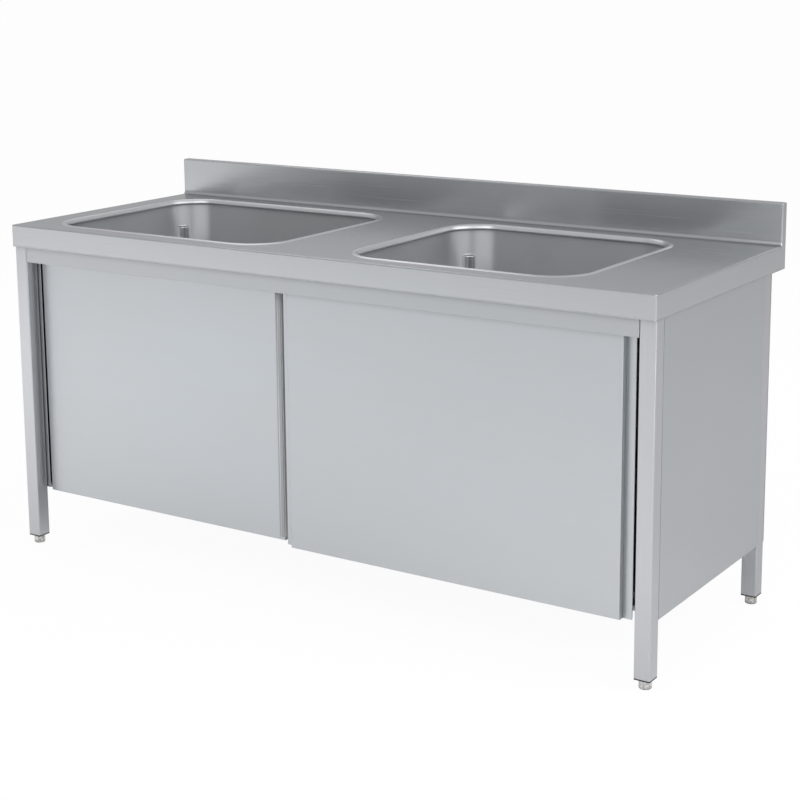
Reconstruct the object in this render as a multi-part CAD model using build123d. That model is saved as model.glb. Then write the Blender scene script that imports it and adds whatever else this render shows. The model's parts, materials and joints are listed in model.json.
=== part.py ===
from build123d import *
import math
import os

# Stainless double-bowl sink unit with two sliding doors, in millimetres.
# The origin is on the floor under the middle of the unit. +X runs to the right
# along the front, +Y runs to the back and +Z runs up. All doors are closed.

# ---- Overall sizes -------------------------------------------------------------
unit_width = 1800.0
unit_depth = 700.0
worktop_height = 850.0

# ---- Worktop: one folded sheet with aprons, lips and a hollow upstand -----------
worktop_sheet = 1.2
apron_height = 56.0
apron_lip = 25.0
fold_radius = 3.0
upstand_height = 100.0
upstand_thickness = 20.0
upstand_foot_radius = 9.0
upstand_rear_return = 20.0
stiffener_sheet = 1.5
stiffener_height = 28.0
stiffener_crown = 36.0
stiffener_flange = 14.0
stiffener_end_gap = 6.0

# ---- Bowls: pressed shells welded under the rolled rims of the worktop ----------
left_bowl_margin = 75.0
left_bowl_width = 692.0
bowl_gap = 213.0
right_bowl_margin = 219.0
bowl_front_margin = 55.0
bowl_back_margin = 83.0
bowl_corner_radius = 100.0
bowl_depth = 300.0
bowl_sheet = 1.2
bowl_draft = 3.0
bowl_floor_radius = 28.0
rim_radius = 8.0
rim_collar = 10.0
bowl_track_clearance = 1.5
pad_end_margin = 110.0
pad_width = 240.0
pad_thickness = 3.0

# ---- Wastes and standpipes ------------------------------------------------------
waste_from_side = 105.0
waste_from_back = 155.0
waste_seat_radius = 43.0
waste_seat_depth = 3.0
waste_flange_radius = 40.0
waste_flange_thickness = 2.5
waste_thread_radius = 23.9
waste_outlet_radius = 23.6
waste_outlet_length = 40.0
waste_wall = 3.4
waste_length = 62.0
waste_hole_clearance = 1.1
pipe_seat_radius = 16.0
pipe_seat_length = 16.0
gasket_radius = 36.0
gasket_thickness = 2.5
nut_radius = 33.0
nut_thickness = 11.0
nut_bore_clearance = 0.1
standpipe_radius = 14.0
standpipe_wall = 1.5
standpipe_height = 226.0
standpipe_collar_radius = 19.0
standpipe_collar_height = 5.0
spigot_clearance = 0.5
spigot_length = 13.0
seal_width = 3.0
seal_groove_depth = 1.6
seal_clearance = 0.3

# ---- Legs, plugs and adjustable feet ---------------------------------------------
leg_size = 38.0
leg_wall = 1.5
leg_corner_radius = 3.0
leg_side_inset = 2.0
leg_front_inset = 7.0
leg_rear_inset = 75.0
leg_bottom = 24.0
plug_flange = 3.0
plug_insert = 22.0
plug_clearance = 0.1
foot_radius = 14.0
foot_edge_radius = 2.5
foot_gap = 0.3
stud_radius = 5.0
stud_clearance = 0.1
stud_length = 56.0

# ---- Carcass: rails, panels and shelf ---------------------------------------------
panel_sheet = 1.2
joint_gap = 0.3
front_rail_height = 38.5
front_rail_lip = 8.0
front_rail_flange = 58.0
side_panel_bottom = 149.0
side_panel_return = 25.0
jamb_width = 10.0
shelf_height = 30.0
shelf_stiffener_width = 60.0
rear_rail_height = 93.8
rear_rail_depth = 40.0
rear_rail_lip = 20.0

# ---- Sliding doors: a folded skin with finger pulls, a liner and a core -------------
door_setback = 14.0
door_thickness = 18.0
door_pitch = 22.0
door_sheet = 1.0
door_bend = 2.0
pull_width = 22.0
door_bottom = 139.0
rear_door_lift = 5.0
door_top_clearance = 3.0
left_door_behind_leg = 4.0
right_door_gap = 19.0
door_meeting_offset = 59.5
door_overlap = 9.0
door_end_clearance = 1.0
liner_slot = 5.0
core_top_gap = 16.0
core_bottom_gap = 10.0

# ---- Door track, hangers, rollers and stops ------------------------------------------
track_height = 30.0
track_sheet = 1.5
track_lip = 6.75
hanger_inset = 60.0
hanger_sheet = 2.5
hanger_width = 40.0
hanger_foot_length = 70.0
hanger_foot_width = 13.0
roller_radius = 8.0
roller_width = 5.0
roller_side_gap = 0.5
roller_lift = 0.3
roller_bore_clearance = 0.1
axle_radius = 2.4
axle_head_radius = 3.6
axle_head_height = 1.2
stop_length = 12.0
stop_height = 14.0
stop_gap = 0.3

# ---- Bottom guides: pegs on the doors that run in two channels under the shelf -------
guide_channel = 10.0
guide_sheet = 1.0
guide_height = 12.0
guide_door_gap = 4.0
guide_bottom = 148.0
guide_arm_sheet = 2.0
guide_arm_width = 30.0
peg_radius = 4.5
peg_top_gap = 2.0

# ---- Fasteners ------------------------------------------------------------------------
screw_radius = 3.0
screw_head_radius = 5.5
screw_head_height = 3.0
screw_hole_clearance = 0.2
small_screw_radius = 2.0
small_screw_head_radius = 4.0
small_screw_head_height = 1.8
screw_tail = 5.0
worktop_screw_count = 3
track_screw_count = 5
back_screw_count = 4
screw_end_distance = 60.0

# ---- Places worked out from the sizes -------------------------------------------------
half_width = unit_width / 2
front_edge = -unit_depth / 2
back_edge = unit_depth / 2
upstand_face = back_edge - upstand_thickness
upstand_top = worktop_height + upstand_height
frame_top = worktop_height - apron_height
worktop_under = worktop_height - worktop_sheet
collar_end = worktop_height - rim_collar
rear_rail_bottom = worktop_under - rear_rail_height

leg_outer_x = half_width - leg_side_inset
leg_inner_x = leg_outer_x - leg_size
leg_front_y = front_edge + leg_front_inset
front_leg_back_y = leg_front_y + leg_size
leg_back_y = back_edge - leg_rear_inset
rear_leg_front_y = leg_back_y - leg_size

rail_end_x = leg_inner_x - joint_gap
track_top = frame_top - panel_sheet
track_bottom = track_top - track_height
door_top = track_bottom - door_top_clearance
front_door_face = leg_front_y + door_setback
rear_door_face = front_door_face + door_pitch
door_middle = door_thickness / 2
track_front = front_door_face + door_middle - door_pitch / 2 - track_sheet / 2
track_back = track_front + 2 * door_pitch + track_sheet
roller_z = track_bottom + track_sheet + roller_lift + roller_radius

door_meeting_x = -door_meeting_offset
left_door_span = (-leg_inner_x - left_door_behind_leg, door_meeting_x + door_overlap / 2)
right_door_span = (door_meeting_x - door_overlap / 2, leg_inner_x - right_door_gap)
left_door_travel = leg_inner_x + left_door_behind_leg - left_door_span[1]
right_door_travel = right_door_span[0] + leg_inner_x - door_end_clearance

guide_front = rear_door_face + door_thickness + guide_door_gap
guide_pitch = guide_channel + guide_sheet
guide_back = guide_front + 2 * guide_pitch + guide_sheet
guide_top = guide_bottom + guide_height
shelf_front = guide_back
shelf_bottom = side_panel_bottom + panel_sheet
shelf_top = shelf_bottom + shelf_height
back_panel_y = leg_back_y + panel_sheet

bowl_front = front_edge + bowl_front_margin
bowl_back = back_edge - bowl_back_margin
left_bowl_span = (-half_width + left_bowl_margin, -half_width + left_bowl_margin + left_bowl_width)
right_bowl_span = (left_bowl_span[1] + bowl_gap, half_width - right_bowl_margin)
bowl_floor = worktop_height - bowl_depth
waste_seat_z = bowl_floor - waste_seat_depth
waste_top = waste_seat_z + gasket_thickness + waste_flange_thickness
waste_y = bowl_back - waste_from_back
spigot_radius = pipe_seat_radius - spigot_clearance


# ---- Small helpers ----------------------------------------------------------------------
def block(x0, x1, y0, y1, z0, z1):
    """A box between two corners."""
    middle = Pos((x0 + x1) / 2, (y0 + y1) / 2, (z0 + z1) / 2)
    return middle * Box(x1 - x0, y1 - y0, z1 - z0)


def upright(x, y, z0, z1, radius):
    """A round bar that stands from z0 to z1."""
    return Pos(x, y, (z0 + z1) / 2) * Cylinder(radius, z1 - z0)


def crossbar(x, z, y0, y1, radius):
    """A round bar that runs front to back."""
    return Pos(x, (y0 + y1) / 2, z) * Rot(90, 0, 0) * Cylinder(radius, y1 - y0)


def ring(x, y, z0, z1, outer, inner):
    """An upright ring."""
    return upright(x, y, z0, z1, outer) - upright(x, y, z0 - 1, z1 + 1, inner)


def edges_at(shape, axis, **place):
    """Straight edges along one axis whose middles lie at the given x, y or z."""
    chosen = []
    for edge in shape.edges().filter_by(axis):
        middle = edge.center()
        if all(abs(getattr(middle, name.upper()) - value) < 0.01 for name, value in place.items()):
            chosen.append(edge)
    return chosen


def spread(low, high, count):
    """Evenly spaced places from low to high, both included."""
    step = (high - low) / (count - 1)
    return [low + index * step for index in range(count)]


def as_group(solids):
    """Several separate solids kept in one sub-part."""
    return Compound(children=list(solids))


# ---- Worktop ------------------------------------------------------------------------------
def bowl_outline(span, grow, z):
    """The opening of a bowl as a rounded rectangle, grown by a wall."""
    width = span[1] - span[0] + 2 * grow
    depth = bowl_back - bowl_front + 2 * grow
    place = Pos((span[0] + span[1]) / 2, (bowl_front + bowl_back) / 2, z)
    return place * RectangleRounded(width, depth, bowl_corner_radius + grow)


def worktop_body(inset):
    """The solid outline of the folded worktop, drawn in by one sheet for its hollow."""
    side = half_width - inset
    top = worktop_height - inset
    body = block(-side, side, front_edge + inset, back_edge, frame_top - inset, top)
    upstand_back = back_edge - inset
    body += block(-side, side, upstand_face + inset, upstand_back, top - 1, upstand_top - inset)
    foot = edges_at(body, Axis.X, y=upstand_face + inset, z=top)
    body = fillet(foot, upstand_foot_radius + inset)
    rounded = edges_at(body, Axis.X, y=front_edge + inset, z=top)
    rounded += edges_at(body, Axis.X, y=upstand_face + inset, z=upstand_top - inset)
    for x in (-side, side):
        rounded += edges_at(body, Axis.Z, x=x, y=front_edge + inset)
        rounded += [e for e in body.edges() if abs(e.center().X - x) < 0.01 and on_side_top(e, inset)]
    return fillet(rounded, fold_radius - inset)


def on_side_top(edge, inset):
    """True for the edges that run over the side of the worktop, up to the upstand's top."""
    box = edge.bounding_box()
    low = worktop_height - inset - 0.01
    return box.min.Z > low and box.max.Y < back_edge + 1 and box.size.X < 0.01 and not (
        abs(box.min.Y - (back_edge - inset)) < 0.01)


def worktop():
    outer = worktop_body(0)
    inner = worktop_body(worktop_sheet)
    side = half_width - worktop_sheet
    rear_gap = upstand_top - upstand_rear_return
    inner += block(-side, side, back_edge - 2 * worktop_sheet, back_edge + 1, frame_top - 1, rear_gap)
    for span in (left_bowl_span, right_bowl_span):
        outer -= extrude(bowl_outline(span, 0, frame_top - 1), apron_height + 2)
        outer = fillet(rim_loop(outer, span, worktop_height), rim_radius)
        inner -= extrude(bowl_outline(span, worktop_sheet, collar_end), rim_collar)
        inner = fillet(rim_loop(inner, span, worktop_under), rim_radius - worktop_sheet)
    top = outer - inner
    lip_top = frame_top + worktop_sheet
    lip_front = front_edge + worktop_sheet
    top += block(-side, side, lip_front, lip_front + apron_lip, frame_top, lip_top)
    for x0 in (-side, side - apron_lip):
        top += block(x0, x0 + apron_lip, lip_front, back_edge, frame_top, lip_top)
    for x, y in worktop_screw_places():
        top -= upright(x, y, frame_top - 1, lip_top + 1, screw_radius + screw_hole_clearance)
    return top


def rim_loop(shape, span, z):
    """The closed loop of edges around one bowl opening at one height."""
    low, high = span[0] - rim_radius, span[1] + rim_radius
    loop = []
    for edge in shape.edges():
        box = edge.bounding_box()
        level = abs(box.min.Z - z) < 0.01 and abs(box.max.Z - z) < 0.01
        if level and box.min.X > low and box.max.X < high and box.max.Y < bowl_back + rim_radius:
            loop.append(edge)
    return loop


def stiffener(x, y0, y1):
    """A hat-shaped stiffener that runs front to back under the worktop."""
    outer_half = stiffener_crown / 2
    inner_half = outer_half - stiffener_sheet
    low = worktop_under - stiffener_height
    hat = block(x - outer_half, x + outer_half, y0, y1, low, worktop_under)
    hat -= block(x - inner_half, x + inner_half, y0 - 1, y1 + 1, low + stiffener_sheet, worktop_under + 1)
    wing = outer_half + stiffener_flange
    for x0, x1 in ((x - wing, x - inner_half), (x + inner_half, x + wing)):
        hat += block(x0, x1, y0, y1, worktop_under - stiffener_sheet, worktop_under)
    return hat


def worktop_stiffeners():
    between = (left_bowl_span[1] + right_bowl_span[0]) / 2
    beside = (right_bowl_span[1] + half_width - worktop_sheet) / 2
    y0 = front_edge + worktop_sheet + apron_lip + stiffener_end_gap
    return as_group(stiffener(x, y0, back_panel_y - stiffener_end_gap) for x in (between, beside))


# ---- Bowls ------------------------------------------------------------------------------------
def bowl_section(span, z, wall):
    """One level of a bowl: the walls lean in, and the front wall clears the door track."""
    lean = math.tan(math.radians(bowl_draft)) * (collar_end - z)
    front = bowl_front + lean
    if z < collar_end:
        front = max(front, track_back + bowl_track_clearance + bowl_sheet + lean_below_track(z))
    x0, x1 = span[0] + lean - wall, span[1] - lean + wall
    y0, y1 = front - wall, bowl_back - lean + wall
    level = Pos((x0 + x1) / 2, (y0 + y1) / 2, z - (wall if z == bowl_floor else 0))
    return level * RectangleRounded(x1 - x0, y1 - y0, bowl_corner_radius - lean + wall)


def lean_below_track(z):
    """How far the draft brings the front wall in below the top of the track."""
    return math.tan(math.radians(bowl_draft)) * (frame_top - z)


def bowl_hollow(span, wall):
    """The space inside a bowl, or with a wall the outside of its shell."""
    levels = [bowl_section(span, z, wall) for z in (collar_end, frame_top, bowl_floor)]
    body = loft(levels, ruled=True)
    low = body.bounding_box().min.Z
    floor_edges = [e for e in body.edges() if e.bounding_box().max.Z < low + 0.01]
    return fillet(floor_edges, bowl_floor_radius + wall)


def bowl(span):
    x = span[0] + waste_from_side
    shell_bottom = bowl_floor - bowl_sheet
    seat_bottom = waste_seat_z - bowl_sheet
    shell = bowl_hollow(span, bowl_sheet)
    shell += upright(x, waste_y, seat_bottom, shell_bottom + 1, waste_seat_radius + bowl_sheet)
    shell -= bowl_hollow(span, 0)
    shell -= upright(x, waste_y, waste_seat_z, bowl_floor + 1, waste_seat_radius)
    return shell - upright(x, waste_y, seat_bottom - 1, bowl_floor, waste_thread_radius + waste_hole_clearance)


def bowl_pad(span):
    """A sound-deadening pad stuck under the floor of a bowl, clear of the waste."""
    x0 = span[0] + waste_from_side + waste_seat_radius + gasket_radius
    y1 = waste_y + waste_seat_radius
    top = bowl_floor - bowl_sheet
    pad = block(x0, span[1] - pad_end_margin, y1 - pad_width, y1, top - pad_thickness, top)
    return fillet(pad.edges().filter_by(Axis.Z), pad_thickness * 3)


# ---- Wastes and standpipes -------------------------------------------------------------------------
def waste(x):
    """The waste: a flange in the bowl, a seat for the standpipe and a threaded tail."""
    flange_low = waste_top - waste_flange_thickness
    tail_low = waste_top - waste_length
    body = upright(x, waste_y, flange_low, waste_top, waste_flange_radius)
    body = fillet(body.edges().filter_by(GeomType.CIRCLE).sort_by(Axis.Z)[-1], waste_flange_thickness / 2)
    outlet_top = tail_low + waste_outlet_length
    body += upright(x, waste_y, outlet_top, flange_low, waste_thread_radius)
    body += upright(x, waste_y, tail_low, outlet_top, waste_outlet_radius)
    seat_low = waste_top - pipe_seat_length
    body -= upright(x, waste_y, seat_low - 1, waste_top + 1, pipe_seat_radius)
    body -= upright(x, waste_y, tail_low - 1, seat_low, waste_thread_radius - waste_wall)
    return body


def waste_gaskets(x):
    """One ring above the bowl's seat and one below it."""
    bore = waste_thread_radius + nut_bore_clearance
    under = waste_seat_z - bowl_sheet
    upper = ring(x, waste_y, waste_seat_z, waste_seat_z + gasket_thickness, gasket_radius, bore)
    lower = ring(x, waste_y, under - gasket_thickness, under, gasket_radius, bore)
    return as_group([upper, lower])


def waste_nut(x):
    top = waste_seat_z - bowl_sheet - gasket_thickness
    low = top - nut_thickness
    nut = Pos(x, waste_y, low) * extrude(RegularPolygon(nut_radius, 6), nut_thickness)
    nut = chamfer(nut.edges().filter_by(Axis.Z, reverse=True).sort_by(Axis.Z)[:6], nut_thickness / 8)
    return nut - upright(x, waste_y, low - 1, top + 1, waste_thread_radius + nut_bore_clearance)


def standpipe(x):
    """The lift-out overflow pipe, its collar resting on the waste's flange."""
    top = waste_top + standpipe_height
    collar_top = waste_top + standpipe_collar_height
    pipe = upright(x, waste_y, waste_top, top, standpipe_radius)
    collar = upright(x, waste_y, waste_top, collar_top, standpipe_collar_radius)
    pipe += fillet(collar.edges().sort_by(Axis.Z)[-1], standpipe_collar_height / 3)
    pipe += upright(x, waste_y, waste_top - spigot_length, waste_top, spigot_radius)
    pipe -= upright(x, waste_y, waste_top - spigot_length - 1, top + 1, standpipe_radius - standpipe_wall)
    groove = waste_top - spigot_length / 2
    cut = ring(x, waste_y, groove - seal_width / 2, groove + seal_width / 2, pipe_seat_radius,
               spigot_radius - seal_groove_depth)
    pipe -= cut
    lip = [e for e in pipe.edges().filter_by(GeomType.CIRCLE) if abs(e.center().Z - top) < 0.01]
    return fillet(lip, standpipe_wall / 3)


def standpipe_seal(x):
    middle = waste_top - spigot_length / 2
    outer = pipe_seat_radius - seal_clearance
    return ring(x, waste_y, middle - seal_width / 2, middle + seal_width / 2, outer,
                spigot_radius - seal_groove_depth)


# ---- Legs ---------------------------------------------------------------------------------------------
leg_centres = {
    "front_left": (-leg_outer_x + leg_size / 2, leg_front_y + leg_size / 2),
    "front_right": (leg_outer_x - leg_size / 2, leg_front_y + leg_size / 2),
    "rear_left": (-leg_outer_x + leg_size / 2, leg_back_y - leg_size / 2),
    "rear_right": (leg_outer_x - leg_size / 2, leg_back_y - leg_size / 2),
}


def leg(x, y):
    inside = leg_size - 2 * leg_wall
    section = RectangleRounded(leg_size, leg_size, leg_corner_radius)
    section -= RectangleRounded(inside, inside, leg_corner_radius - leg_wall)
    tube = extrude(Pos(x, y, leg_bottom) * section, frame_top - leg_bottom)
    for px, pz in back_screw_places():
        if abs(px - x) < leg_size / 2 and y > 0:
            tube -= crossbar(px, pz, y, leg_back_y + 1, small_screw_radius + screw_hole_clearance)
    return tube


def leg_plug(x, y):
    inside = leg_size - 2 * (leg_wall + plug_clearance)
    flange = RectangleRounded(leg_size, leg_size, leg_corner_radius)
    insert = RectangleRounded(inside, inside, leg_corner_radius - leg_wall)
    low = leg_bottom - plug_flange
    plug = extrude(Pos(x, y, low) * flange, plug_flange)
    plug += extrude(Pos(x, y, leg_bottom) * insert, plug_insert)
    return plug - upright(x, y, low - 1, leg_bottom + plug_insert + 1, stud_radius)


def foot(x, y):
    top = leg_bottom - plug_flange - foot_gap
    pad = upright(x, y, 0, top, foot_radius)
    pad = fillet(pad.edges().filter_by(GeomType.CIRCLE), foot_edge_radius)
    return pad + upright(x, y, top - 1, top + stud_length, stud_radius - stud_clearance)


# ---- Carcass ----------------------------------------------------------------------------------------------
def front_rail():
    """A folded rail flush with the legs, with a deep flange that carries the track."""
    low = frame_top - front_rail_height
    back = leg_front_y + front_rail_flange
    rail = block(-rail_end_x, rail_end_x, leg_front_y, leg_front_y + panel_sheet, low, frame_top)
    rail += block(-rail_end_x, rail_end_x, leg_front_y, back, frame_top - panel_sheet, frame_top)
    lip_back = leg_front_y + front_rail_lip
    rail += block(-rail_end_x, rail_end_x, leg_front_y, lip_back, low, low + panel_sheet)
    for x, y in track_screw_places():
        rail -= upright(x, y, track_top - 1, frame_top + 1, small_screw_radius + screw_hole_clearance)
    return rail


def rear_rail():
    """A channel behind the back panel that carries the back of the worktop."""
    end = half_width - worktop_sheet - apron_lip - joint_gap
    face = back_panel_y
    rail = block(-end, end, face, face + stiffener_sheet, rear_rail_bottom, worktop_under)
    rail += block(-end, end, face, face + rear_rail_depth, worktop_under - stiffener_sheet, worktop_under)
    low = rear_rail_bottom
    rail += block(-end, end, face, face + rear_rail_lip, low, low + stiffener_sheet)
    return rail


def side_panel(side):
    """A folded panel between the legs on one side: -1 is the left, +1 is the right."""
    outer, inner = leg_outer_x, leg_outer_x - side_panel_return
    y0, y1 = front_leg_back_y, rear_leg_front_y
    low, high = side_panel_bottom, frame_top
    skin = outer - panel_sheet
    panel = block(skin, outer, y0, y1, low, high)
    panel += block(leg_inner_x, outer, y0, y0 + panel_sheet, low, high)
    jamb_top = track_bottom - joint_gap
    panel += block(leg_inner_x - jamb_width, outer, y0, y0 + panel_sheet, low, jamb_top)
    panel += block(inner, outer, y1 - panel_sheet, y1, low, high)
    panel += block(inner, outer, y0, y1, low, low + panel_sheet)
    panel += block(inner, outer, y0, y1, high - panel_sheet, high)
    if side < 0:
        panel = mirror(panel, Plane.YZ)
    for x, y in worktop_screw_places():
        if x * side > 0:
            panel -= upright(x, y, high - 2 * panel_sheet, high + 1, screw_radius + screw_hole_clearance)
    return panel


def back_panel():
    panel = block(-leg_outer_x, leg_outer_x, leg_back_y, back_panel_y, side_panel_bottom, frame_top)
    for x, z in back_screw_places():
        hole = small_screw_radius + screw_hole_clearance
        panel -= crossbar(x, z, leg_back_y - 1, back_panel_y + 1, hole)
    return panel


def shelf_outline(inset, low, high):
    """The shelf's plan: full width between the side panels, narrower between the rear legs."""
    wide = leg_outer_x - panel_sheet - joint_gap - inset
    narrow = leg_inner_x - joint_gap - inset
    step = rear_leg_front_y - panel_sheet - joint_gap - inset
    plan = block(-wide, wide, shelf_front + inset, step, low, high)
    return plan + block(-narrow, narrow, shelf_front + inset, leg_back_y - joint_gap - inset, low, high)


def bottom_shelf():
    shelf = shelf_outline(0, shelf_bottom, shelf_top)
    return shelf - shelf_outline(panel_sheet, shelf_bottom - 1, shelf_top - panel_sheet)


def shelf_stiffeners():
    """Two channels under the shelf, one beside each end of its middle third."""
    inner_front = shelf_front + panel_sheet
    inner_back = leg_back_y - joint_gap - panel_sheet
    channels = []
    for x in (-leg_inner_x / 3, leg_inner_x / 3):
        x0, x1 = x - shelf_stiffener_width / 2, x + shelf_stiffener_width / 2
        low, high = shelf_bottom, shelf_top - panel_sheet
        channel = block(x0, x1, inner_front, inner_back, low, high)
        wall = stiffener_sheet
        channel -= block(x0 + wall, x1 - wall, inner_front - 1, inner_back + 1, low - 1, high - wall)
        channels.append(channel)
    return as_group(channels)


# ---- Door track, its stops and the bottom guide ------------------------------------------------------------
def door_track():
    """Two channels side by side, open below along a slot for the hangers."""
    track = block(-rail_end_x, rail_end_x, track_front, track_back, track_bottom, track_top)
    for lane in range(2):
        y0 = track_front + track_sheet + lane * door_pitch
        y1 = y0 + door_pitch - track_sheet
        ends = rail_end_x + 1
        track -= block(-ends, ends, y0, y1, track_bottom + track_sheet, track_top - track_sheet)
        track -= block(-ends, ends, y0 + track_lip, y1 - track_lip, track_bottom - 1, track_top - track_sheet)
    for x, y in track_screw_places():
        track -= upright(x, y, track_bottom, track_top + 1, small_screw_radius + screw_hole_clearance)
    return track


def track_stops():
    """Rubber blocks clamped in the lanes where each door's hangers end their travel."""
    blocks = []
    lanes = ((rear_door_face, left_door_span, left_door_travel),
             (front_door_face, right_door_span, -right_door_travel))
    for face, span, travel in lanes:
        low_edge = min(span[0], span[0] + travel) + pull_width + hanger_inset - hanger_width / 2
        high_edge = max(span[1], span[1] + travel) - pull_width - hanger_inset + hanger_width / 2
        y = face + door_middle
        half = (door_pitch - track_sheet) / 2
        z0 = track_bottom + track_sheet
        for x0 in (low_edge - stop_gap - stop_length, high_edge + stop_gap):
            stop = block(x0, x0 + stop_length, y - half, y + half, z0, z0 + stop_height)
            blocks.append(stop)
    return as_group(blocks)


def door_guide_rail():
    """Two channels open below, welded along the front of the shelf."""
    rail = block(-leg_inner_x, leg_inner_x, guide_front, guide_back, guide_bottom, guide_top)
    for lane in range(2):
        y0 = guide_front + guide_sheet + lane * guide_pitch
        ends = leg_inner_x + 1
        rail -= block(-ends, ends, y0, y0 + guide_channel, guide_bottom - 1, guide_top - guide_sheet)
    return rail


# ---- Doors ------------------------------------------------------------------------------------------------------
def hanger_places(span):
    """The two places along a door where its hangers and guide arms sit."""
    return (span[0] + pull_width + hanger_inset, span[1] - pull_width - hanger_inset)


def door_pan(span, face, low, inset):
    """The solid outline of a door's folded pan, drawn in by one sheet for its hollow."""
    x0, x1 = span[0] + pull_width + inset, span[1] - pull_width - inset
    back = face + door_thickness - door_sheet
    pan = block(x0, x1, face + inset, back + inset, low + inset, door_top - inset)
    front_edges = [e for e in pan.edges() if abs(e.center().Y - face - inset) < 0.01]
    return fillet(front_edges, door_bend - inset)


def door_skin(span, face, low):
    """Front sheet with a full-height finger pull folded into each upright edge."""
    skin = door_pan(span, face, low, 0) - door_pan(span, face, low, door_sheet)
    back = face + door_thickness - door_sheet
    pull_end = pull_width + door_sheet
    for x0, x1 in ((span[0], span[0] + pull_end), (span[1] - pull_end, span[1])):
        skin += block(x0, x1, back - door_sheet, back, low, door_top)
    slot_half = hanger_sheet / 2 + joint_gap
    middle = face + door_middle
    for x in hanger_places(span):
        x0, x1 = x - hanger_width / 2 - joint_gap, x + hanger_width / 2 + joint_gap
        skin -= block(x0, x1, middle - slot_half, middle + slot_half, door_top - 2 * door_sheet, door_top + 1)
        for sx in hanger_screw_places(x):
            hole = small_screw_radius + screw_hole_clearance
            skin -= upright(sx, middle, door_top - 2 * door_sheet, door_top + 1, hole)
    return skin


def door_liner(span, face, low):
    back = face + door_thickness
    return block(span[0], span[1], back - door_sheet, back, low + liner_slot, door_top)


def door_core(span, face, low):
    """The honeycomb board that fills the door between its skin and its liner."""
    edge = pull_width + door_bend + joint_gap
    front, back = face + door_sheet, face + door_thickness - door_sheet
    return block(span[0] + edge, span[1] - edge, front, back, low + core_bottom_gap, door_top - core_top_gap)


def hanger_screw_places(x):
    side = (hanger_width + hanger_foot_length) / 4
    return (x - side, x + side)


def door_hangers(span, face):
    """Plates that stand up through the top fold of a door into its lane of the track."""
    plates = []
    middle = face + door_middle
    foot_top = door_top - door_sheet
    for x in hanger_places(span):
        half = hanger_foot_length / 2
        y_half = hanger_foot_width / 2
        plate = block(x - half, x + half, middle - y_half, middle + y_half, foot_top - hanger_sheet, foot_top)
        x0, x1 = x - hanger_width / 2, x + hanger_width / 2
        top = roller_z + roller_radius / 2
        plate += block(x0, x1, middle - hanger_sheet / 2, middle + hanger_sheet / 2, foot_top - 1, top)
        plate -= crossbar(x, roller_z, middle - hanger_sheet, middle + hanger_sheet, axle_radius)
        for sx in hanger_screw_places(x):
            plate -= upright(sx, middle, foot_top - 2 * hanger_sheet, foot_top + 1, small_screw_radius)
        plates.append(plate)
    return as_group(plates)


def door_fasteners(span, face):
    """The axles of the rollers and the screws that hold the hangers."""
    pins = []
    middle = face + door_middle
    reach = hanger_sheet / 2 + 2 * roller_side_gap + roller_width
    for x in hanger_places(span):
        axle = crossbar(x, roller_z, middle - reach, middle + reach, axle_radius)
        for y in (middle - reach - axle_head_height, middle + reach):
            axle += crossbar(x, roller_z, y, y + axle_head_height, axle_head_radius)
        pins.append(axle)
        for sx in hanger_screw_places(x):
            head = upright(sx, middle, door_top, door_top + small_screw_head_height, small_screw_head_radius)
            shank_low = door_top - door_sheet - hanger_sheet - screw_tail / 2
            pins.append(head + upright(sx, middle, shank_low, door_top, small_screw_radius))
    return as_group(pins)


def roller_pair(x, face):
    """Two grooveless wheels, one each side of a hanger, that turn on one axle."""
    middle = face + door_middle
    inner = hanger_sheet / 2 + roller_side_gap
    wheels = []
    for y0 in (middle - inner - roller_width, middle + inner):
        wheel = crossbar(x, roller_z, y0, y0 + roller_width, roller_radius)
        wheel = chamfer(wheel.edges().filter_by(GeomType.CIRCLE), roller_width / 10)
        bore = axle_radius + roller_bore_clearance
        wheels.append(wheel - crossbar(x, roller_z, y0 - 1, y0 + roller_width + 1, bore))
    return as_group(wheels)


def guide_lane(face):
    """The middle of the guide channel that a door's pegs run in."""
    lane = 1 if face == front_door_face else 0
    return guide_front + guide_sheet + guide_channel / 2 + lane * guide_pitch


def door_guides(span, face, low):
    """Arms on a door's bottom fold that reach back under the guide rail."""
    arms = []
    lane = guide_lane(face)
    z0 = low + door_sheet
    for x in hanger_places(span):
        half = guide_arm_width / 2
        arm = block(x - half, x + half, face + 2 * door_sheet, lane + peg_radius, z0, z0 + guide_arm_sheet)
        arms.append(fillet(arm.edges().filter_by(Axis.Z), peg_radius / 2))
    return as_group(arms)


def door_pegs(span, face, low):
    """Nylon pegs that stand on the guide arms."""
    lane = guide_lane(face)
    z0 = low + door_sheet + guide_arm_sheet
    z1 = guide_top - guide_sheet - peg_top_gap
    pegs = [upright(x, lane, z0, z1, peg_radius) for x in hanger_places(span)]
    return as_group(chamfer(p.edges().sort_by(Axis.Z)[-1], peg_radius / 5) for p in pegs)


def door_parts(name, span, face, low):
    """Every piece of one door, by sub-part name."""
    left_x, right_x = hanger_places(span)
    return {
        f"{name}_door_skin": door_skin(span, face, low),
        f"{name}_door_liner": door_liner(span, face, low),
        f"{name}_door_core": door_core(span, face, low),
        f"{name}_door_hangers": door_hangers(span, face),
        f"{name}_door_fasteners": door_fasteners(span, face),
        f"{name}_door_roller_a": roller_pair(left_x, face),
        f"{name}_door_roller_b": roller_pair(right_x, face),
        f"{name}_door_guide_arms": door_guides(span, face, low),
        f"{name}_door_guide_pegs": door_pegs(span, face, low),
    }


# ---- Fasteners ---------------------------------------------------------------------------------------------------
def worktop_screw_places():
    x = leg_outer_x - side_panel_return / 2
    low = front_leg_back_y + screw_end_distance
    high = rear_leg_front_y - screw_end_distance
    return [(sx, y) for sx in (-x, x) for y in spread(low, high, worktop_screw_count)]


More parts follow.
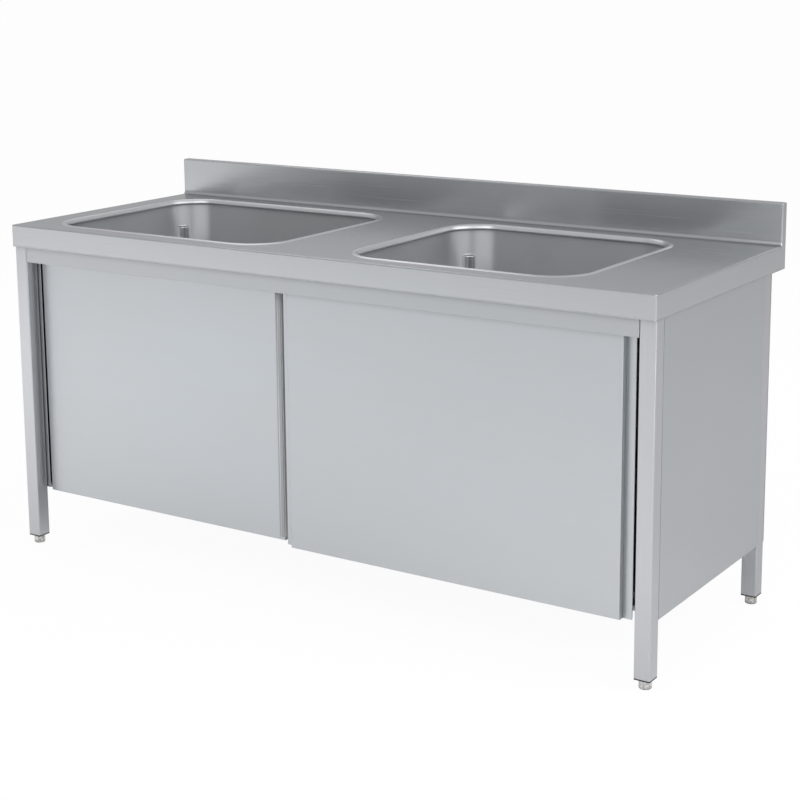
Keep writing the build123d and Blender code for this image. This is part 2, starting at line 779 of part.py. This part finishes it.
def worktop_screws():
    """Screws from below, through the side panels' top folds into the worktop's lips."""
    screws = []
    seat = frame_top - panel_sheet
    for x, y in worktop_screw_places():
        head = upright(x, y, seat - screw_head_height, seat, screw_head_radius)
        head = fillet(head.edges().sort_by(Axis.Z)[0], screw_head_height / 2)
        screws.append(head + upright(x, y, seat, frame_top + worktop_sheet + screw_tail, screw_radius))
    return as_group(screws)


def track_screw_places():
    reach = rail_end_x - screw_end_distance
    y = front_door_face + door_middle
    return [(x, y) for x in spread(-reach, reach, track_screw_count)]


def track_screws():
    """Screws up through the front lane of the track into the front rail's flange."""
    screws = []
    seat = track_top - track_sheet
    for x, y in track_screw_places():
        head = upright(x, y, seat - small_screw_head_height, seat, small_screw_head_radius)
        screws.append(head + upright(x, y, seat, frame_top + screw_tail, small_screw_radius))
    return as_group(screws)


def back_screw_places():
    x = leg_outer_x - leg_size / 2
    low = side_panel_bottom + screw_end_distance
    high = rear_rail_bottom - screw_end_distance
    return [(sx, z) for sx in (-x, x) for z in spread(low, high, back_screw_count)]


def back_panel_screws():
    screws = []
    for x, z in back_screw_places():
        head_back = back_panel_y + small_screw_head_height
        head = crossbar(x, z, back_panel_y, head_back, small_screw_head_radius)
        shank = crossbar(x, z, leg_back_y - leg_wall - screw_tail, back_panel_y, small_screw_radius)
        screws.append(head + shank)
    return as_group(screws)


# ---- The whole unit ------------------------------------------------------------------------------------------------
def build_unit():
    """Every sub-part by name."""
    parts = {
        "worktop": worktop(),
        "worktop_stiffeners": worktop_stiffeners(),
        "front_rail": front_rail(),
        "rear_rail": rear_rail(),
        "side_panel_left": side_panel(-1),
        "side_panel_right": side_panel(1),
        "back_panel": back_panel(),
        "bottom_shelf": bottom_shelf(),
        "shelf_stiffeners": shelf_stiffeners(),
        "door_track": door_track(),
        "door_guide_rail": door_guide_rail(),
        "track_stops": track_stops(),
        "worktop_screws": worktop_screws(),
        "track_screws": track_screws(),
        "back_panel_screws": back_panel_screws(),
    }
    for side, span in (("left", left_bowl_span), ("right", right_bowl_span)):
        x = span[0] + waste_from_side
        parts[f"bowl_{side}"] = bowl(span)
        parts[f"bowl_pad_{side}"] = bowl_pad(span)
        parts[f"waste_{side}"] = waste(x)
        parts[f"waste_gaskets_{side}"] = waste_gaskets(x)
        parts[f"waste_nut_{side}"] = waste_nut(x)
        parts[f"standpipe_{side}"] = standpipe(x)
        parts[f"standpipe_seal_{side}"] = standpipe_seal(x)
    for place, (x, y) in leg_centres.items():
        parts[f"leg_{place}"] = leg(x, y)
        parts[f"leg_plug_{place}"] = leg_plug(x, y)
        parts[f"foot_{place}"] = foot(x, y)
    parts.update(door_parts("left", left_door_span, rear_door_face, door_bottom + rear_door_lift))
    parts.update(door_parts("right", right_door_span, front_door_face, door_bottom))
    return parts


def main():
    os.makedirs("parts", exist_ok=True)
    for name, shape in build_unit().items():
        export_step(shape, f"parts/{name}.step")
    print(f"left door travel {left_door_travel:.1f} mm, right door travel {right_door_travel:.1f} mm")
    print(f"bowl floor {bowl_floor:.1f} mm, waste top {waste_top:.1f} mm, roller height {roller_z:.1f} mm")


main()
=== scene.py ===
# %% [markdown]
# The kitchen sink unit: a free-standing worktop with two bowls on a steel cabinet with
# sliding doors. Its folded sheets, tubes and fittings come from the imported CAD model, which
# is loaded as a fixed frame in metres. This notebook gives each sheet its brushed finish,
# adds the small forms that a sheet-metal worker leaves behind, and lights the unit.

# %% Load the frame
import json
import math
import bmesh
import bpy
from mathutils import Matrix, Vector


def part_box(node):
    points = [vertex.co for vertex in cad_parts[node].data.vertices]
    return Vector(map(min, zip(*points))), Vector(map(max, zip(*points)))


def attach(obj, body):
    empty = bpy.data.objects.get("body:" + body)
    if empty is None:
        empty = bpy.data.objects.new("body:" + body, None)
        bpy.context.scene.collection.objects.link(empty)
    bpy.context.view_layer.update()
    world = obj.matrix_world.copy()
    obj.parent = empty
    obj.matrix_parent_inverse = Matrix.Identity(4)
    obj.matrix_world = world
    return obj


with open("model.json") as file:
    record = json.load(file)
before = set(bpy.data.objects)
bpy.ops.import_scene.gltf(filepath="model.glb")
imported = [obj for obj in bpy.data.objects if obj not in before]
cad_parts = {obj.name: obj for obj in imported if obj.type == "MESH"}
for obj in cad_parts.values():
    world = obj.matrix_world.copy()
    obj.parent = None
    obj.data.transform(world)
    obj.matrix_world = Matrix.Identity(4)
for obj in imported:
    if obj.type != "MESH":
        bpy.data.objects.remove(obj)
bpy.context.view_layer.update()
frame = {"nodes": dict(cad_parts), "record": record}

nodes = frame["nodes"]

# %% [markdown]
# The photograph was taken from the right of the unit, a little above the worktop, with a
# fairly long lens. The lens and the three turns below were fitted to the corners of the
# worktop, the legs and the feet. A small downward shift keeps the legs nearly upright.

# %% Camera
def aim(yaw, pitch, roll):
    """Camera axes from a turn about the vertical, a tilt down and a small lean."""
    right = Vector((math.cos(yaw), -math.sin(yaw), 0.0))
    level = Vector((math.sin(yaw), math.cos(yaw), 0.0))
    ahead = level * math.cos(pitch) - Vector((0, 0, 1)) * math.sin(pitch)
    up = level * math.sin(pitch) + Vector((0, 0, 1)) * math.cos(pitch)
    side = right * math.cos(roll) + up * math.sin(roll)
    top = up * math.cos(roll) - right * math.sin(roll)
    return Matrix((side, top, -ahead)).transposed().to_4x4()


CAMERA_PLACE = (2.3478, -3.4827, 1.5230)     # metres
YAW, PITCH, ROLL = -0.5820, 0.1852, -0.0078  # radians
lens = bpy.data.cameras.new("photo_camera")
lens.lens, lens.sensor_width, lens.shift_y = 78.4, 36.0, -0.15
lens.clip_start, lens.clip_end = 0.1, 500.0
camera = bpy.data.objects.new("photo_camera", lens)
bpy.context.scene.collection.objects.link(camera)
camera.matrix_world = Matrix.Translation(CAMERA_PLACE) @ aim(YAW, PITCH, ROLL)
bpy.context.scene.camera = camera
print("camera at", tuple(round(v, 3) for v in camera.location))

# %% [markdown]
# Every finish starts from the same few steps: a material with one principled shader, the
# piece's own object coordinates, and noise stretched along the direction of the brushing.
# Short helpers keep each recipe readable.

# %% Helpers for finishes
def start_finish(name, colour, metallic, roughness):
    """A material with one principled shader; returns it with its node tree and shader."""
    material = bpy.data.materials.new(name)
    material.use_nodes = True
    tree = material.node_tree
    shader = tree.nodes["Principled BSDF"]
    shader.inputs["Base Color"].default_value = (*colour, 1.0)
    shader.inputs["Metallic"].default_value = metallic
    shader.inputs["Roughness"].default_value = roughness
    return material, tree, shader


def stretched_noise(tree, scale, detail=3.0):
    """Noise on object coordinates, squeezed by a different scale along each axis."""
    place = tree.nodes.new("ShaderNodeTexCoord")
    squeeze = tree.nodes.new("ShaderNodeMapping")
    squeeze.inputs["Scale"].default_value = scale
    noise = tree.nodes.new("ShaderNodeTexNoise")
    noise.inputs["Scale"].default_value = 1.0
    noise.inputs["Detail"].default_value = detail
    noise.inputs["Roughness"].default_value = 0.55
    tree.links.new(place.outputs["Object"], squeeze.inputs["Vector"])
    tree.links.new(squeeze.outputs["Vector"], noise.inputs["Vector"])
    return noise.outputs["Fac"]


NOISE_RANGE = (0.3, 0.7)     # where nearly all values of a noise lie


def between(tree, value, low, high):
    """Maps a noise value to a range."""
    node = tree.nodes.new("ShaderNodeMapRange")
    names = ("From Min", "From Max", "To Min", "To Max")
    for name, number in zip(names, (*NOISE_RANGE, low, high)):
        node.inputs[name].default_value = number
    tree.links.new(value, node.inputs["Value"])
    return node.outputs["Result"]


def add(tree, first, second):
    """The sum of two values."""
    node = tree.nodes.new("ShaderNodeMath")
    node.operation = "ADD"
    tree.links.new(first, node.inputs[0])
    tree.links.new(second, node.inputs[1])
    return node.outputs["Value"]


def blend_colours(tree, factor, first, second):
    """Mixes two colours by a value that varies over the surface."""
    node = tree.nodes.new("ShaderNodeMix")
    node.data_type = "RGBA"
    node.inputs[6].default_value = (*first, 1.0)
    node.inputs[7].default_value = (*second, 1.0)
    tree.links.new(factor, node.inputs[0])
    return node.outputs[2]


FEELERS = 6     # rays by which a shader feels for a crease or an edge near by


def painted_crease_shade(tree, shader, colour, reach=0.016, darkest=0.42):
    """Darkens a colour by ambient occlusion in joints and creases: painted shade, where light never
    gets in.
    """
    near = tree.nodes.new("ShaderNodeAmbientOcclusion")
    near.samples = FEELERS
    near.inputs["Distance"].default_value = reach
    depth = tree.nodes.new("ShaderNodeMapRange")
    depth.inputs["To Min"].default_value = darkest
    depth.inputs["To Max"].default_value = 1.0
    shade = tree.nodes.new("ShaderNodeMix")
    shade.data_type, shade.blend_type = "RGBA", "MULTIPLY"
    shade.inputs[0].default_value = 1.0
    tree.links.new(near.outputs["AO"], depth.inputs["Value"])
    tree.links.new(colour, shade.inputs[6])
    tree.links.new(depth.outputs["Result"], shade.inputs[7])
    tree.links.new(shade.outputs[2], shader.inputs["Base Color"])


def relief(tree, shader, height, strength, distance, edge=0.0):
    """Fine bumps, on faces whose sharp edges look eased by a radius in metres."""
    node = tree.nodes.new("ShaderNodeBump")
    node.inputs["Strength"].default_value = strength
    node.inputs["Distance"].default_value = distance
    tree.links.new(height, node.inputs["Height"])
    tree.links.new(node.outputs["Normal"], shader.inputs["Normal"])
    if edge:
        eased = tree.nodes.new("ShaderNodeBevel")
        eased.samples = FEELERS
        eased.inputs["Radius"].default_value = edge
        tree.links.new(eased.outputs["Normal"], node.inputs["Normal"])


print("helpers ready")

# %% [markdown]
# Brushed stainless sheet is steel rubbed with a belt in one direction. The scratches are far
# finer than a pixel, so most of the look is anisotropy: highlights stay narrow along the
# grain and smear wide across it. Noise drawn out along the grain adds the streaks that can
# be seen, and wide soft noise adds the faint cool and warm clouds of a rolled sheet.

# %% Brushed sheet
def grain_scale(axis, along, across):
    """A noise scale that is coarse along one axis and fine across it."""
    return tuple(along if name == axis else across for name in "xyz")


def level_grain(tree):
    """The level direction along an upright or leaning wall, and X on a flat floor."""
    face = tree.nodes.new("ShaderNodeNewGeometry")
    turn = tree.nodes.new("ShaderNodeVectorMath")
    turn.operation = "CROSS_PRODUCT"
    turn.inputs[1].default_value = (0, 0, 1)
    nudge = tree.nodes.new("ShaderNodeVectorMath")
    nudge.inputs[1].default_value = (0.02, 0.0, 0.0)
    tree.links.new(face.outputs["Normal"], turn.inputs[0])
    tree.links.new(turn.outputs["Vector"], nudge.inputs[0])
    return nudge.outputs["Vector"]


SCRATCHES, STREAKS, CLOUDS = (3.0, 1400.0), (1.2, 260.0), (1.1, 2.3)    # scales along, across
COOL, WARM = (-1.6, -0.6, 0.4), (1.0, 0.1, 0.3)     # shifts of red, green and blue
TINT = 0.02     # the size of those shifts, as a share of the sheet's colour
FOLD = 0.0028   # radius by which a sharp fold looks eased, in metres


def brushed_sheet(name, colour, axis, roughness, spread, wrap=False, edge=FOLD):
    """Steel brushed along one axis, or level around upright walls when wrap is set."""
    material, tree, shader = start_finish(name, colour, 1.0, roughness)
    fine = stretched_noise(tree, grain_scale(axis, *SCRATCHES))
    streak = stretched_noise(tree, grain_scale(axis, *STREAKS))
    cloud = stretched_noise(tree, grain_scale(axis, *CLOUDS), detail=2.0)
    rubbing = add(tree, between(tree, fine, -0.03, 0.03), between(tree, streak, -0.015, 0.015))
    varied = add(tree, rubbing, between(tree, cloud, roughness - 0.015, roughness + 0.015))
    tree.links.new(varied, shader.inputs["Roughness"])
    cool = tuple(c * (1 + k * TINT) for c, k in zip(colour, COOL))
    warm = tuple(c * (1 + k * TINT) for c, k in zip(colour, WARM))
    shade = add(tree, between(tree, cloud, 0.2, 0.8), between(tree, streak, -0.2, 0.2))
    # Painted shade: ambient occlusion darkens the sheet's colour in joints, creases and under
    # overhangs.
    painted_crease_shade(tree, shader, blend_colours(tree, shade, cool, warm))
    relief(tree, shader, fine, strength=0.08, distance=0.00003, edge=0.0 if wrap else edge)
    shader.inputs["Anisotropic"].default_value = spread
    shader.inputs["Anisotropic Rotation"].default_value = 0.25      # a quarter turn
    if wrap:
        tree.links.new(level_grain(tree), shader.inputs["Tangent"])
    else:
        way = tree.nodes.new("ShaderNodeCombineXYZ")
        way.inputs["XYZ".index(axis.upper())].default_value = 1.0
        tree.links.new(way.outputs["Vector"], shader.inputs["Tangent"])
    return material


finishes = {
    "worktop_steel": brushed_sheet("worktop_steel", (0.52, 0.533, 0.54), "x", 0.24, 0.6,
                                   edge=0.0048),
    "bowl_steel": brushed_sheet("bowl_steel", (0.56, 0.565, 0.57), "x", 0.43, 0.78, wrap=True),
    "panel_steel": brushed_sheet("panel_steel", (0.502, 0.518, 0.528), "x", 0.34, 0.6),
    "door_steel": brushed_sheet("door_steel", (0.538, 0.56, 0.572), "x", 0.34, 0.6),
    "leg_steel": brushed_sheet("leg_steel", (0.52, 0.525, 0.54), "z", 0.30, 0.6, edge=0.0014),
    # Painted highlight: rim_steel is lighter than the worktop's steel, though the rim is pressed
    # from the same sheet.
    "rim_steel": brushed_sheet("rim_steel", (0.66, 0.665, 0.67), "x", 0.38, 0.7, wrap=True),
    "inner_steel": brushed_sheet("inner_steel", (0.46, 0.465, 0.475), "x", 0.42, 0.3),
}
print(len(finishes), "brushed finishes")

# %% [markdown]
# The other finishes are plainer: scuffed turned steel on the feet, brighter steel on the
# screws, chrome on the standpipes and wastes, moulded plastic, rubber, nylon and raw board.
# A little noise in the shade and the gloss keeps each from looking like paint on a screen.

# %% Bright, moulded and raw finishes
def plain_finish(name, colour, metallic, roughness, grain=400.0, depth=0.00005):
    """One colour with a fine speckle in its shade, its gloss and its surface."""
    material, tree, shader = start_finish(name, colour, metallic, roughness)
    speckle = stretched_noise(tree, (grain, grain, grain))
    gloss = between(tree, speckle, roughness * 0.8, roughness * 1.25)
    tree.links.new(gloss, shader.inputs["Roughness"])
    dark = tuple(c * 0.93 for c in colour)
    tree.links.new(blend_colours(tree, speckle, dark, colour), shader.inputs["Base Color"])
    relief(tree, shader, speckle, strength=0.15, distance=depth)
    return material


def scuffed_finish(name, bright, worn):
    """Turned steel that stands on wet floors: bright, with duller blotches, and a dark neck of
    painted shade under the leg and near the floor.
    """
    material, tree, shader = start_finish(name, bright, 1.0, 0.15)
    blotch = stretched_noise(tree, (190.0, 190.0, 120.0))
    tree.links.new(between(tree, blotch, 0.08, 0.30), shader.inputs["Roughness"])
    scuffs = blend_colours(tree, between(tree, blotch, -0.3, 1.4), worn, bright)
    # Painted shade: ambient occlusion darkens the foot's neck under the leg and its bottom near the
    # floor.
    painted_crease_shade(tree, shader, scuffs, reach=0.011, darkest=0.10)
    relief(tree, shader, blotch, strength=0.12, distance=0.00004)
    return material


finishes.update({
    "foot_steel": scuffed_finish("foot_steel", (0.80, 0.79, 0.775), (0.42, 0.405, 0.39)),
    "fastener_steel": plain_finish("fastener_steel", (0.60, 0.60, 0.61), 1.0, 0.22, 500.0, 0.00002),
    "polished_pipe": plain_finish("polished_pipe", (0.88, 0.89, 0.90), 1.0, 0.13, 160.0, 0.00001),
    "polished_waste": plain_finish("polished_waste", (0.78, 0.79, 0.80), 1.0, 0.14, 160.0, 0.00001),
    "black_plastic": plain_finish("black_plastic", (0.025, 0.025, 0.027), 0.0, 0.45),
    "waste_nut_plastic": plain_finish("waste_nut_plastic", (0.78, 0.78, 0.76), 0.0, 0.42),
    "white_nylon": plain_finish("white_nylon", (0.82, 0.82, 0.79), 0.0, 0.38),
    "black_rubber": plain_finish("black_rubber", (0.03, 0.03, 0.03), 0.0, 0.65),
    "damping_pad": plain_finish("damping_pad", (0.08, 0.08, 0.085), 0.0, 0.75, 250.0),
    "honeycomb_board": plain_finish("honeycomb_board", (0.55, 0.44, 0.31), 0.0, 0.85, 250.0),
})
print(len(finishes), "finishes in all")

# %% [markdown]
# Each CAD node keeps its shape and takes the finish of the record's slot that it names, so
# that a later change of the record's slots is followed here without another list.

# %% Dress the CAD nodes
slot_of = {part["node"]: part["material_slot"] for part in frame["record"]["subparts"]}
for name, node in nodes.items():
    node.data.materials.clear()
    node.data.materials.append(finishes[slot_of[name]])
print("dressed", len(nodes), "nodes")

# %% [markdown]
# The worktop's openings have a bead: the press lifts the sheet by nearly 2 mm round
# each hole, so that water on the worktop stays out of the bowl, and rolls it down into the
# bowl's wall. It is one section swept round the opening. The section is spun a quarter turn
# about each corner's centre and drawn straight along the sides, which keeps both tangent.

# %% Beads round the bowls
# The closed section, as distances out from the opening's edge and heights, in millimetres.
BEAD = ((10.0, 849.7), (8.0, 850.2), (5.5, 851.1), (2.8, 851.7), (0.0, 851.8), (-2.6, 851.0),
        (-4.8, 849.2), (-6.4, 846.6), (-7.7, 843.2), (-8.25, 839.5), (-7.4, 839.5), (-6.8, 842.9),
        (-5.6, 845.8), (-4.0, 848.0), (-1.0, 849.3), (9.0, 849.3))
RIM_CORNER = 0.100                      # radius of an opening's corners
RIM_FRONT, RIM_BACK = -0.295, 0.267     # y of its long sides


def keep(mesh_work, name, finish):
    """Turns a bmesh into an object at the origin with its normals outward."""
    bmesh.ops.recalc_face_normals(mesh_work, faces=mesh_work.faces)
    mesh = bpy.data.meshes.new(name)
    mesh_work.to_mesh(mesh)
    mesh_work.free()
    for face in mesh.polygons:
        face.use_smooth = True
    mesh.materials.append(finishes[finish])
    piece = bpy.data.objects.new(name, mesh)
    bpy.context.scene.collection.objects.link(piece)
    return piece


def rim_bead(name, left, right, front=RIM_FRONT, back=RIM_BACK, corner=RIM_CORNER):
    """One bead section swept round an opening with rounded corners."""
    work = bmesh.new()
    section = [work.verts.new((right + d / 1000, back - corner, z / 1000)) for d, z in BEAD]
    edges = [work.edges.new(pair) for pair in zip(section, section[1:] + section[:1])]
    wide, deep = right - left - 2 * corner, back - front - 2 * corner
    runs = ((right - corner, back - corner, (-wide, 0, 0)),
            (left + corner, back - corner, (0, -deep, 0)),
            (left + corner, front + corner, (wide, 0, 0)),
            (right - corner, front + corner, (0, deep, 0)))
    ends = section + edges
    for x, y, run in runs:
        turned = bmesh.ops.spin(work, geom=ends, cent=(x, y, 0), axis=(0, 0, 1),
                                angle=math.pi / 2, steps=20)
        last = [item for item in turned["geom_last"] if isinstance(item, bmesh.types.BMEdge)]
        drawn = bmesh.ops.extrude_edge_only(work, edges=last)["geom"]
        points = [item for item in drawn if isinstance(item, bmesh.types.BMVert)]
        bmesh.ops.translate(work, verts=points, vec=run)
        ends = points + [item for item in drawn if isinstance(item, bmesh.types.BMEdge)]
    bmesh.ops.remove_doubles(work, verts=work.verts, dist=0.00005)
    piece = keep(work, name, "rim_steel")
    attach(piece, "frame")
    return piece


beads = [rim_bead("rim_bead_left", -0.825, -0.133),
         rim_bead("rim_bead_right", 0.080, 0.681)]
print("beads", [len(piece.data.polygons) for piece in beads])

# %% [markdown]
# Where the two doors pass each other, a grey buffer strip is glued into the return of each
# pull, so that steel never knocks on steel. A flat seal with a steel rib on it lies beside
# the pull on the rear door's face, where the photograph shows a soft grey groove; the seal's
# dark grey is painted shade for that groove. Each strip is a thin bar with rounded edges,
# pulled out of one end profile along the door's height.

# %% Buffer strips
LEFT_PULL, RIGHT_PULL = -0.0769, -0.0421    # x of the returns that carry the strips
REAR_DOOR_FACE = -0.3070                    # y of the rear door's front face
STRIP_TOP, REAR_FOOT, FRONT_FOOT = 0.752, 0.152, 0.147      # heights of the strips' ends
STRIP_EDGE = 0.0004                         # radius of their rounded edges


def buffer_strip(name, door, x, y_front, y_back, thick, low, finish="buffer_grey"):
    """A strip with rounded edges that starts at x and is thick towards the sign of thick."""
    work = bmesh.new()
    bmesh.ops.create_grid(work, x_segments=1, y_segments=1, size=0.5)
    bmesh.ops.scale(work, verts=work.verts, vec=(abs(thick), y_back - y_front, 1.0))
    bmesh.ops.translate(work, verts=work.verts, vec=(x + thick / 2, (y_front + y_back) / 2, low))
    risen = bmesh.ops.extrude_face_region(work, geom=work.faces[:])["geom"]
    top = [item for item in risen if isinstance(item, bmesh.types.BMVert)]
    bmesh.ops.translate(work, verts=top, vec=(0, 0, STRIP_TOP - low))
    bmesh.ops.bevel(work, geom=work.edges[:], offset=STRIP_EDGE, segments=2, profile=0.5,
                    affect="EDGES", material=-1)
    piece = keep(work, name, finish)
    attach(piece, door)
    return piece


finishes["buffer_grey"] = plain_finish("buffer_grey", (0.60, 0.61, 0.62), 0.0, 0.6)
# Painted shade: the seal's dark grey stands for the shade in the groove beside the pull.
finishes["seal_grey_painted_shade"] = plain_finish("seal_grey_painted_shade", (0.34, 0.35, 0.355), 0.0, 0.5)
strips = [
    buffer_strip("buffer_strip_left", "left_door", LEFT_PULL, -0.3060, -0.2925, 0.0015, REAR_FOOT),
    buffer_strip("buffer_strip_right", "right_door", RIGHT_PULL, -0.3275, -0.3145, -0.0015,
                 FRONT_FOOT),
    buffer_strip("meeting_strip", "left_door", LEFT_PULL, -0.3079, REAR_DOOR_FACE, -0.0145,
                 REAR_FOOT, "seal_grey_painted_shade"),
    buffer_strip("meeting_rib", "left_door", -0.0842, -0.3083, REAR_DOOR_FACE, -0.0048,
                 REAR_FOOT, "door_steel"),
]
print("strips", [tuple(round(v, 4) for v in piece.dimensions) for piece in strips])

# %% [markdown]
# Each standpipe ends in a head: a short, slightly wider tube pushed over its top, by which
# the pipe is pulled up to empty the bowl, and over whose lip high water runs away. A turned
# piece is best drawn as one closed profile and spun once about the pipe's axis. Points next
# to each corner of the profile keep the smooth shading from rounding the straight walls.

# %% Pipe heads
# The closed profile in metres: distances out from the pipe's axis and up from its top.
HEAD = ((0.0166, -0.0125), (0.0172, -0.0119), (0.0172, -0.0111), (0.0172, 0.0192),
        (0.0172, 0.0200), (0.0167, 0.0207), (0.0160, 0.0207), (0.0155, 0.0200),
        (0.0155, 0.0192), (0.0155, 0.0020), (0.0155, 0.0012), (0.0142, 0.0006),
        (0.0142, -0.0002), (0.0142, -0.0111), (0.0142, -0.0119), (0.0148, -0.0125))


def pipe_head(name, pipe, body):
    """A short sleeve on the top of a standpipe, spun round the pipe's axis."""
    low, high = (Vector(corner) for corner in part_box(pipe))
    middle = (low + high) / 2
    work = bmesh.new()
    ring = [work.verts.new((middle.x + out, middle.y, high.z + up)) for out, up in HEAD]
    for first, second in zip(ring, ring[1:] + ring[:1]):
        work.edges.new((first, second))
    bmesh.ops.spin(work, geom=work.verts[:] + work.edges[:], cent=middle, axis=(0, 0, 1),
                   angle=2 * math.pi, steps=64, use_merge=True)
    bmesh.ops.remove_doubles(work, verts=work.verts, dist=0.00002)
    piece = keep(work, name, "polished_pipe")
    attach(piece, body)
    return piece


heads = [pipe_head("pipe_head_left", "standpipe_left", "standpipe_left_body"),
         pipe_head("pipe_head_right", "standpipe_right", "standpipe_right_body")]
print("heads", [tuple(round(v, 4) for v in piece.dimensions) for piece in heads])

# %% [markdown]
# The floor is one wide pale sheet. To the camera it is a lit photographic table, white with
# soft shadows. To the steel it is a painted floor with no glow of its own, so that the legs
# and panels mirror the shade under the unit, as they do on a real floor. Four soft patches
# of light lie on the paint: a wide one at the front left, where a window would throw it, a
# faint one in front of the right legs, a strong one further right for the folded corners,
# and one far off at the left for the end of the upstand.

# %% Floor
def light_patch(tree, spot, reach, strength):
    """A soft oval of light on the floor: its centre and its half widths in metres."""
    (x, y), (wide, deep) = spot, reach
    place = tree.nodes.new("ShaderNodeTexCoord")
    centre = tree.nodes.new("ShaderNodeMapping")
    centre.inputs["Location"].default_value = (-x / wide, -y / deep, 0.0)
    centre.inputs["Scale"].default_value = (1.0 / wide, 1.0 / deep, 1.0)
    away = tree.nodes.new("ShaderNodeVectorMath")
    away.operation = "LENGTH"
    fade = tree.nodes.new("ShaderNodeMapRange")
    fade.interpolation_type = "SMOOTHERSTEP"
    fade.inputs["To Min"].default_value = strength
    fade.inputs["To Max"].default_value = 0.0
    tree.links.new(place.outputs["Object"], centre.inputs["Vector"])
    tree.links.new(centre.outputs["Vector"], away.inputs[0])
    tree.links.new(away.outputs["Value"], fade.inputs["Value"])
    return fade.outputs["Result"]


def patched_paint(tree, shade, patches):
    """Matt paint with soft patches of light on it, which only the steel gets to see."""
    paint = tree.nodes.new("ShaderNodeBsdfDiffuse")
    paper = stretched_noise(tree, (30.0, 30.0, 30.0))
    spread = blend_colours(tree, paper, (shade * 0.98,) * 3, (shade,) * 3)
    tree.links.new(spread, paint.inputs["Color"])
    shine = tree.nodes.new("ShaderNodeEmission")
    lit = [light_patch(tree, *patch) for patch in patches]
    together = lit[0]
    for patch in lit[1:]:
        together = add(tree, together, patch)
    tree.links.new(together, shine.inputs["Strength"])
    both = tree.nodes.new("ShaderNodeAddShader")
    tree.links.new(paint.outputs["BSDF"], both.inputs[0])
    tree.links.new(shine.outputs["Emission"], both.inputs[1])
    return both.outputs["Shader"]


def pale_floor(half_width, table_shade, glow, paint_shade, patches):
    """The sheet under the unit: a glowing table to the camera, lit paint to the steel."""
    mesh = bpy.data.meshes.new("floor")
    work = bmesh.new()
    bmesh.ops.create_grid(work, x_segments=2, y_segments=2, size=half_width)
    work.to_mesh(mesh)
    work.free()
    floor = bpy.data.objects.new("floor", mesh)
    bpy.context.scene.collection.objects.link(floor)
    material, tree, table = start_finish("pale_floor", (table_shade,) * 3, 0.0, 0.9)
    table.inputs["Specular IOR Level"].default_value = 0.0
    table.inputs["Emission Color"].default_value = (1.0, 1.0, 1.0, 1.0)
    table.inputs["Emission Strength"].default_value = glow
    rays = tree.nodes.new("ShaderNodeLightPath")
    choose = tree.nodes.new("ShaderNodeMixShader")
    tree.links.new(rays.outputs["Is Camera Ray"], choose.inputs["Fac"])
    tree.links.new(patched_paint(tree, paint_shade, patches), choose.inputs[1])
    tree.links.new(table.outputs["BSDF"], choose.inputs[2])
    tree.links.new(choose.outputs["Shader"], tree.nodes["Material Output"].inputs["Surface"])
    mesh.materials.append(material)
    return floor


floor = pale_floor(half_width=150.0, table_shade=0.06, glow=0.945, paint_shade=0.84, patches=[
    ((-3.6, -2.2), (6.0, 5.0), 0.74),
    ((1.0, -0.9), (2.4, 1.8), 0.24),
    ((3.6, -2.2), (2.2, 2.0), 1.6),
    ((-8.0, -7.0), (3.4, 3.0), 1.2),
])
print("floor", floor.dimensions[:])

# %% [markdown]
# Steel shows its surroundings more than its own colour, so the light is built as a small
# studio. The world is a middle grey, lighter above the horizon. Two wide soft boxes stand in
# front and at the right, where the far corners of the bowls catch them. They are large and
# weak, so that folds get a soft line of light and not a white one. A small box high behind
# the unit draws the bright line along the beads round the bowls. The camera itself sees a
# white background.

# %% World and lights
def soft_box(name, place, target, width, height, power):
    """A rectangular lamp that faces a target; sizes in metres and power in watts."""
    data = bpy.data.lights.new(name, "AREA")
    data.shape, data.size, data.size_y, data.energy = "RECTANGLE", width, height, power
    light = bpy.data.objects.new(name, data)
    bpy.context.scene.collection.objects.link(light)
    look = Vector(target) - Vector(place)
    turn = look.to_track_quat("-Z", "Y").to_matrix().to_4x4()
    light.matrix_world = Matrix.Translation(place) @ turn
    return light


def studio_world(steps):
    """A grey surround whose brightness steps up with height: sine of elevation, brightness."""
    world = bpy.data.worlds.new("studio")
    world.use_nodes = True
    bpy.context.scene.world = world
    tree = world.node_tree
    place = tree.nodes.new("ShaderNodeTexCoord")
    part = tree.nodes.new("ShaderNodeSeparateXYZ")
    ramp = tree.nodes.new("ShaderNodeValToRGB")
    stops = ramp.color_ramp.elements
    while len(stops) < len(steps):
        stops.new(0.5)
    for stop, (height, level) in zip(stops, steps):
        stop.position = height
        stop.color = (level, level, level * 1.015, 1.0)
    tree.links.new(place.outputs["Generated"], part.inputs["Vector"])
    tree.links.new(part.outputs["Z"], ramp.inputs["Fac"])
    rays = tree.nodes.new("ShaderNodeLightPath")
    seen = tree.nodes.new("ShaderNodeMix")
    seen.data_type = "RGBA"
    seen.inputs[7].default_value = (1.0, 1.0, 1.0, 1.0)
    tree.links.new(rays.outputs["Is Camera Ray"], seen.inputs[0])
    tree.links.new(ramp.outputs["Color"], seen.inputs[6])
    tree.links.new(seen.outputs[2], tree.nodes["Background"].inputs["Color"])


studio_world(((0.00, 0.42), (0.16, 0.45), (0.30, 0.63), (0.55, 0.62), (1.00, 0.60)))
soft_box("front_box", (2.0, -4.6, 3.4), (2.0, 0.0, 0.7), 6.0, 3.6, 112.0)
soft_box("right_box", (5.2, 0.0, 3.4), (0.0, 0.0, 0.7), 6.8, 3.6, 130.0)
soft_box("rim_box", (-2.1, 1.7, 3.5), (0.0, 0.0, 0.85), 1.6, 1.2, 9.5)
bpy.context.scene.view_settings.view_transform = "Standard"
